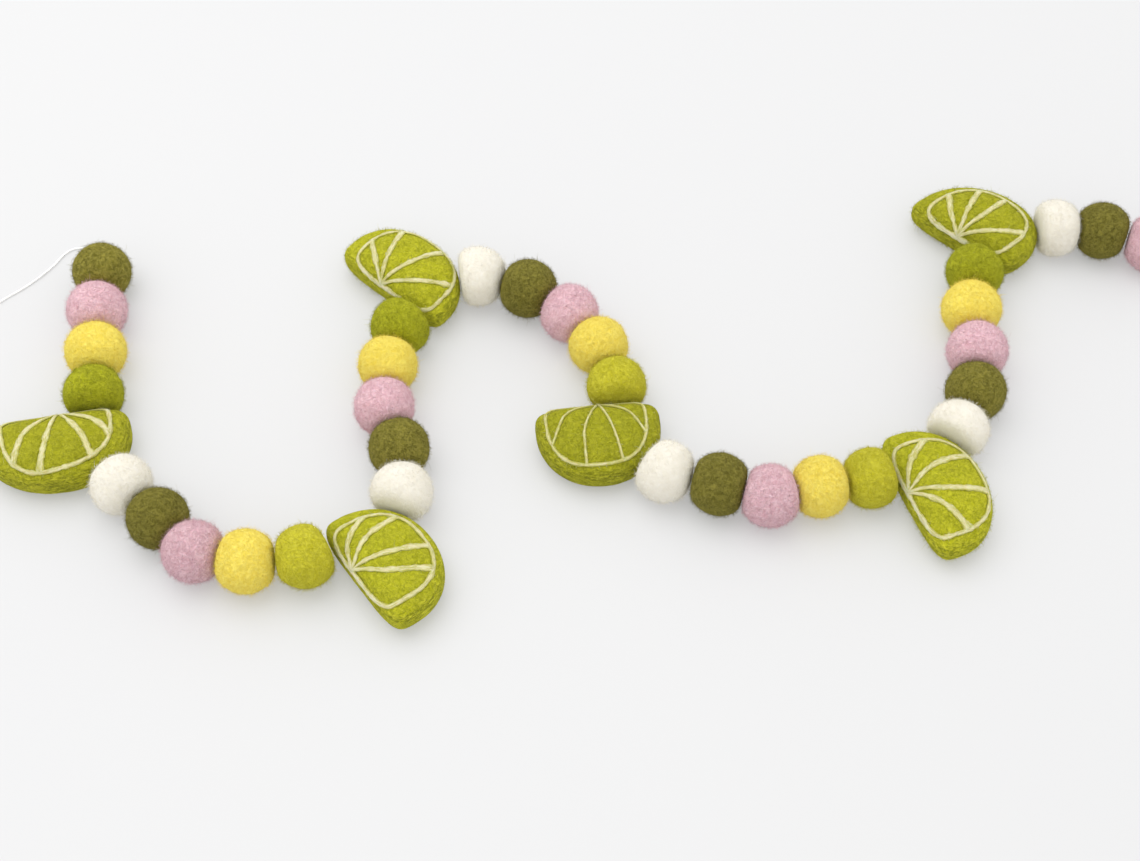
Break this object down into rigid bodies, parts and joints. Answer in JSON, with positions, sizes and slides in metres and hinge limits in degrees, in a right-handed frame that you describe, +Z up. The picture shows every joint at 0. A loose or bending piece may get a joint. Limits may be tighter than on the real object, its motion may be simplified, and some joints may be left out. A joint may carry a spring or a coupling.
{
  "type": "felt ball garland",
  "caption": "Garland of wool felt balls and puffy felt lime slices threaded close together on a cotton thread, lying in waves on a flat surface.",
  "frame": {"origin": "on the surface that the garland lies on, under the middle of the outline of its balls and slices", "axes": "+X along the length of the laid garland from its free thread end to its last ball, +Y across its waves, +Z up"},
  "size_m": [0.5351, 0.2208, 0.0246],
  "materials": {
    "felt_white": "matte",
    "felt_olive": "matte",
    "felt_pink": "matte",
    "felt_yellow": "matte",
    "felt_lime": "matte",
    "felt_slice": "matte",
    "yarn_cream": "matte",
    "cotton_thread": "matte"
  },
  "bodies": {
    "root": {"ball_01": "felt_olive", "ball_02": "felt_pink", "ball_03": "felt_yellow", "ball_04": "felt_lime", "ball_05": "felt_white", "ball_06": "felt_olive", "ball_07": "felt_pink", "ball_08": "felt_yellow", "ball_09": "felt_lime", "ball_10": "felt_white", "ball_11": "felt_olive", "ball_12": "felt_pink", "ball_13": "felt_yellow", "ball_14": "felt_lime", "ball_15": "felt_white", "ball_16": "felt_olive", "ball_17": "felt_pink", "ball_18": "felt_yellow", "ball_19": "felt_lime", "ball_20": "felt_white", "ball_21": "felt_olive", "ball_22": "felt_pink", "ball_23": "felt_yellow", "ball_24": "felt_lime", "ball_25": "felt_white", "ball_26": "felt_olive", "ball_27": "felt_pink", "ball_28": "felt_yellow", "ball_29": "felt_lime", "ball_30": "felt_white", "ball_31": "felt_olive", "ball_32": "felt_pink", "lime_slice_1": "felt_slice", "slice_yarn_1": "yarn_cream", "lime_slice_2": "felt_slice", "slice_yarn_2": "yarn_cream", "lime_slice_3": "felt_slice", "slice_yarn_3": "yarn_cream", "lime_slice_4": "felt_slice", "slice_yarn_4": "yarn_cream", "lime_slice_5": "felt_slice", "slice_yarn_5": "yarn_cream", "lime_slice_6": "felt_slice", "slice_yarn_6": "yarn_cream", "end_knot": "cotton_thread", "free_thread": "cotton_thread", "thread_knot": "cotton_thread"}
  },
  "joints": []
}
